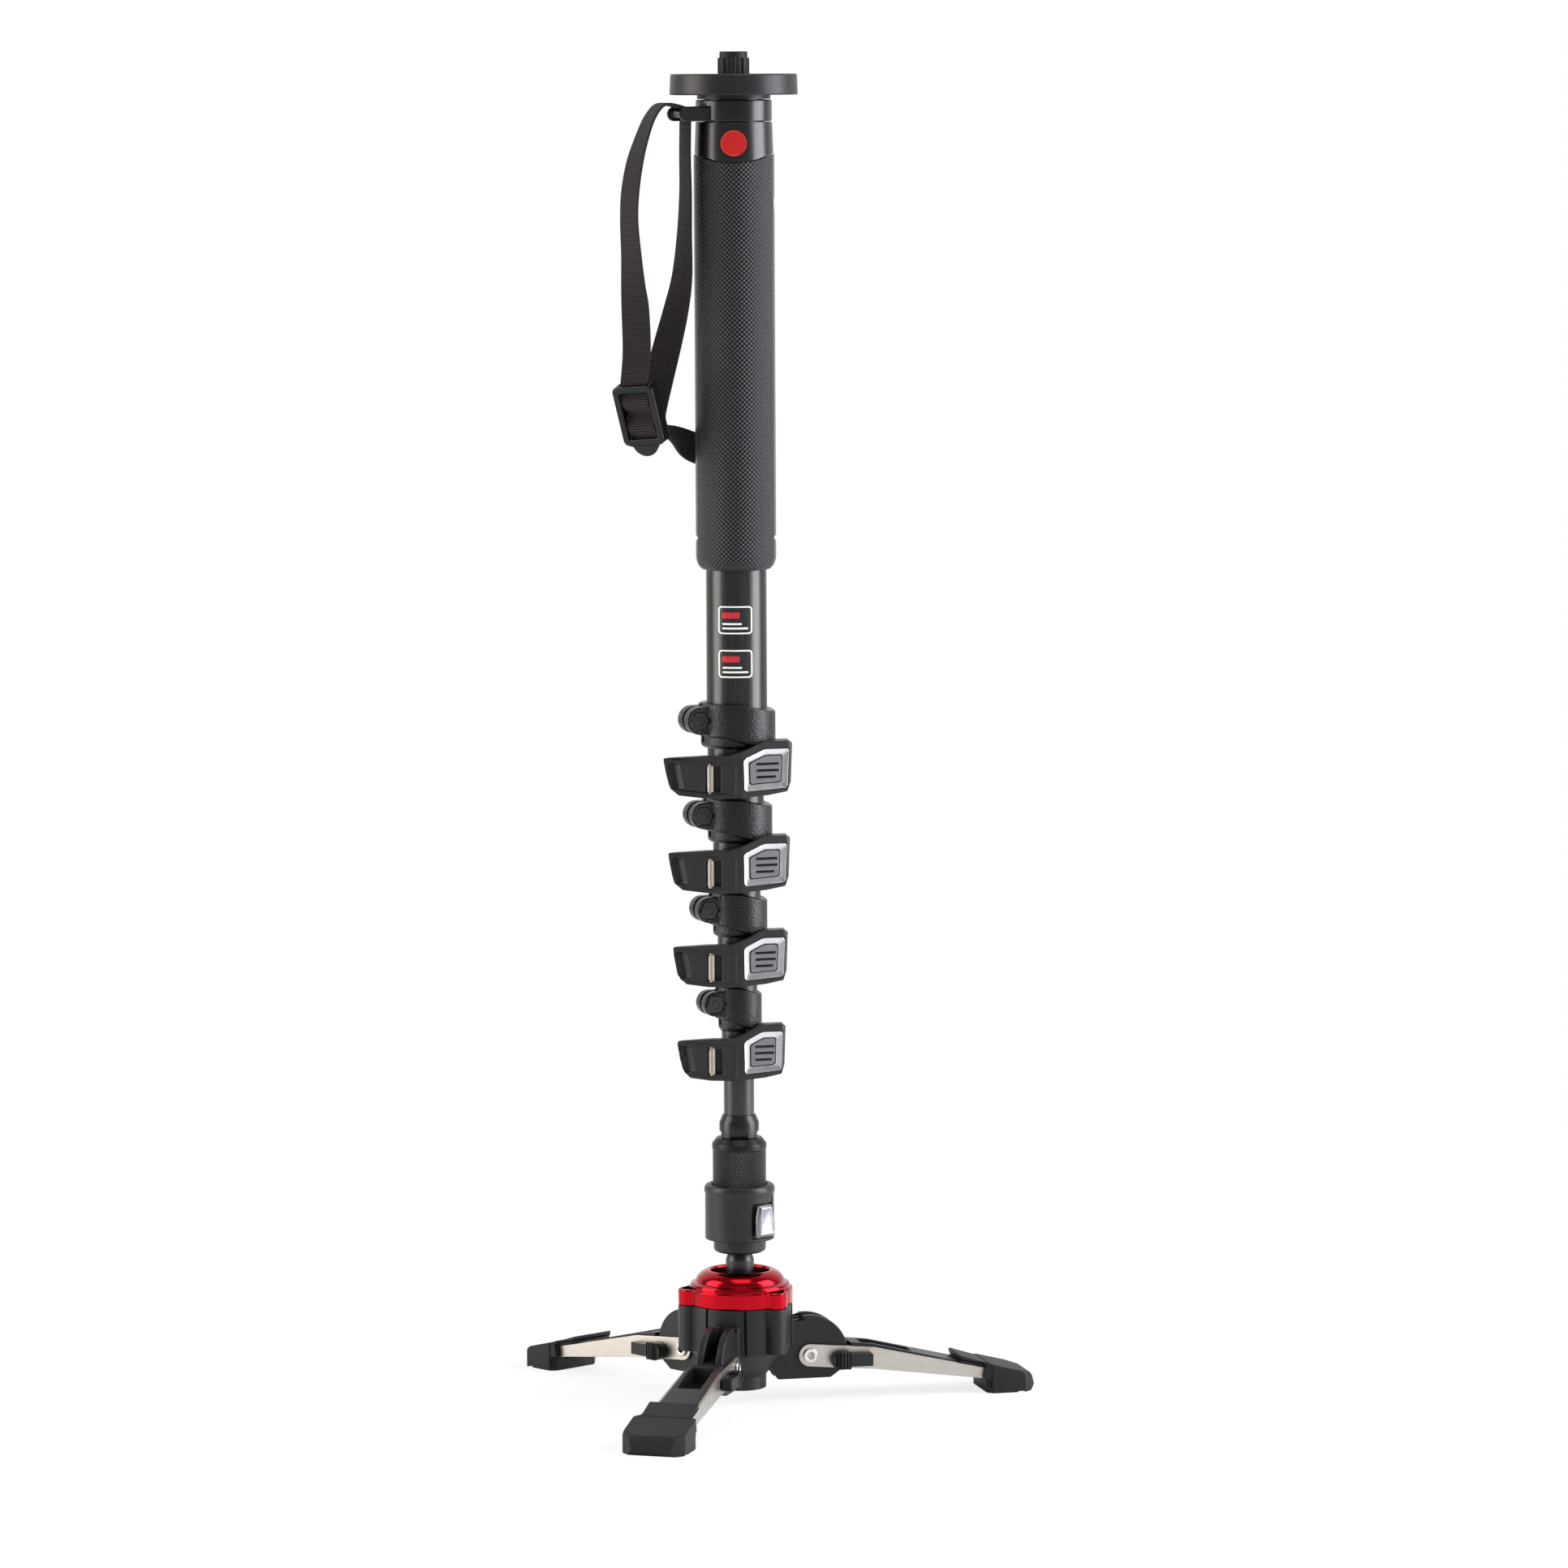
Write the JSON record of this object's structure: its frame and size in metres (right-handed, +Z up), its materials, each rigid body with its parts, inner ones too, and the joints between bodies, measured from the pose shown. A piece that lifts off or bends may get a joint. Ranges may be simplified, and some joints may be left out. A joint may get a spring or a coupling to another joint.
{
  "type": "camera monopod",
  "caption": "Collapsed telescoping video monopod with flip-lever tube locks, rubber grip, round camera plate with stud, and a fluid-ball base on folding legs.",
  "frame": {"origin": "on the floor, under the tubes' common axis", "axes": "+Z up along the tubes, +Y away from the camera that took the picture, +X to its right"},
  "size_m": [0.2588, 0.2625, 0.6731],
  "materials": {
    "carbon": "satin",
    "black_metal": "anodised black",
    "black_plastic": "matt",
    "black_alloy": "fine textured black paint",
    "nylon": "matt",
    "dark_steel": "blackened",
    "chrome": "bright satin",
    "steel": "satin",
    "rubber": "matt",
    "webbing": "woven",
    "red_alloy": "anodised red",
    "red_badge": "gloss"
  },
  "bodies": {
    "base": {"base_hub": "black_plastic", "retaining_ring": "red_alloy", "leg_pins": "steel"},
    "rotor": {"pan_rotor": "nylon"},
    "cradle": {"tilt_cradle": "nylon"},
    "stem": {"ball_stem": "black_metal", "knurled_sleeve": "black_metal", "foot_socket": "black_metal", "tube_5": "carbon"},
    "lock_slider": {"tilt_lock_collar": "black_metal"},
    "lock_button": {"release_button": "chrome"},
    "strap_swivel": {"strap_ring": "black_plastic", "wrist_strap": "webbing", "strap_buckle": "black_plastic"},
    "stud_cover": {"stud_cap": "black_plastic"},
    "section_1": {"tube_1": "carbon", "lock_collar_1": "black_alloy", "lock_liner_1": "nylon", "lock_fasteners_1": "dark_steel", "grip": "rubber", "grip_cap": "black_plastic", "cap_badge": "red_badge", "top_plate": "black_metal", "camera_stud": "black_metal"},
    "section_2": {"tube_2": "carbon", "lock_collar_2": "black_alloy", "lock_liner_2": "nylon", "lock_fasteners_2": "dark_steel"},
    "section_3": {"tube_3": "carbon", "lock_collar_3": "black_alloy", "lock_liner_3": "nylon", "lock_fasteners_3": "dark_steel"},
    "section_4": {"tube_4": "carbon", "lock_collar_4": "black_alloy", "lock_liner_4": "nylon", "lock_fasteners_4": "dark_steel"},
    "lever_1": {"lock_lever_1": "black_plastic", "lock_badge_1": "chrome", "lock_roller_1": "steel"},
    "lever_2": {"lock_lever_2": "black_plastic", "lock_badge_2": "chrome", "lock_roller_2": "steel"},
    "lever_3": {"lock_lever_3": "black_plastic", "lock_badge_3": "chrome", "lock_roller_3": "steel"},
    "lever_4": {"lock_lever_4": "black_plastic", "lock_badge_4": "chrome", "lock_roller_4": "steel"},
    "leg_1": {"leg_plates_1": "steel", "leg_spar_1": "black_plastic", "leg_foot_1": "rubber"},
    "latch_1": {"leg_latch_1": "black_plastic"},
    "leg_2": {"leg_plates_2": "steel", "leg_spar_2": "black_plastic", "leg_foot_2": "rubber"},
    "latch_2": {"leg_latch_2": "black_plastic"},
    "leg_3": {"leg_plates_3": "steel", "leg_spar_3": "black_plastic", "leg_foot_3": "rubber"},
    "latch_3": {"leg_latch_3": "black_plastic"}
  },
  "joints": [
    {"name": "tilt_direction", "type": "hinge", "parent": "base", "child": "rotor", "pos_m": [0, 0, 0.049], "axis": [0, 0, 1], "continuous": true},
    {"name": "tilt", "type": "hinge", "parent": "rotor", "child": "cradle", "pos_m": [0, 0, 0.049], "axis": [0, 1, 0], "range_deg": [0, 20]},
    {"name": "pan", "type": "hinge", "parent": "cradle", "child": "stem", "pos_m": [0, 0, 0.049], "axis": [0, 0, 1], "continuous": true},
    {"name": "tilt_lock_slide", "type": "slide", "parent": "stem", "child": "lock_slider", "axis": [0, 0, 1], "range_m": [-0.014, 0]},
    {"name": "release_button_press", "type": "slide", "parent": "lock_slider", "child": "lock_button", "axis": [-0.7193, 0.6947, 0], "range_m": [0, 0.0014], "stiffness_N_per_m": 900, "springref_m": -0.001},
    {"name": "section_4_slide", "type": "slide", "parent": "stem", "child": "section_4", "axis": [0, 0, 1], "range_m": [0, 0.37]},
    {"name": "section_3_slide", "type": "slide", "parent": "section_4", "child": "section_3", "axis": [0, 0, 1], "range_m": [0, 0.33]},
    {"name": "section_2_slide", "type": "slide", "parent": "section_3", "child": "section_2", "axis": [0, 0, 1], "range_m": [0, 0.29]},
    {"name": "section_1_slide", "type": "slide", "parent": "section_2", "child": "section_1", "axis": [0, 0, 1], "range_m": [0, 0.245]},
    {"name": "lever_1_flip", "type": "hinge", "parent": "section_1", "child": "lever_1", "pos_m": [0.0221, -0.005, 0.3186], "axis": [0, 0, 1], "range_deg": [0, 100]},
    {"name": "lever_2_flip", "type": "hinge", "parent": "section_2", "child": "lever_2", "pos_m": [0.0208, -0.005, 0.2713], "axis": [0, 0, 1], "range_deg": [0, 100]},
    {"name": "lever_3_flip", "type": "hinge", "parent": "section_3", "child": "lever_3", "pos_m": [0.0195, -0.005, 0.224], "axis": [0, 0, 1], "range_deg": [0, 100]},
    {"name": "lever_4_flip", "type": "hinge", "parent": "section_4", "child": "lever_4", "pos_m": [0.0182, -0.005, 0.1767], "axis": [0, 0, 1], "range_deg": [0, 100]},
    {"name": "leg_1_fold", "type": "hinge", "parent": "base", "child": "leg_1", "pos_m": [0.03307, 0.00788, 0.0227], "axis": [-0.2317, 0.9728, 0], "range_deg": [-90, 0]},
    {"name": "latch_1_slide", "type": "slide", "parent": "leg_1", "child": "latch_1", "axis": [0.9728, 0.2317, 0], "range_m": [0, 0.004], "stiffness_N_per_m": 800, "springref_m": -0.001},
    {"name": "leg_2_fold", "type": "hinge", "parent": "base", "child": "leg_2", "pos_m": [-0.02336, 0.0247, 0.0227], "axis": [-0.7266, -0.6871, 0], "range_deg": [-90, 0]},
    {"name": "latch_2_slide", "type": "slide", "parent": "leg_2", "child": "latch_2", "axis": [-0.6871, 0.7266, 0], "range_m": [0, 0.004], "stiffness_N_per_m": 800, "springref_m": -0.001},
    {"name": "leg_3_fold", "type": "hinge", "parent": "base", "child": "leg_3", "pos_m": [-0.00971, -0.03258, 0.0227], "axis": [0.9583, -0.2857, 0], "range_deg": [-90, 0]},
    {"name": "latch_3_slide", "type": "slide", "parent": "leg_3", "child": "latch_3", "axis": [-0.2857, -0.9583, 0], "range_m": [0, 0.004], "stiffness_N_per_m": 800, "springref_m": -0.001},
    {"name": "strap_swivel_turn", "type": "hinge", "parent": "section_1", "child": "strap_swivel", "pos_m": [0, 0, 0.644], "axis": [0, 0, 1], "continuous": true},
    {"name": "stud_cap_lift", "type": "slide", "parent": "section_1", "child": "stud_cover", "axis": [0, 0, 1], "range_m": [0, 0.03]}
  ]
}
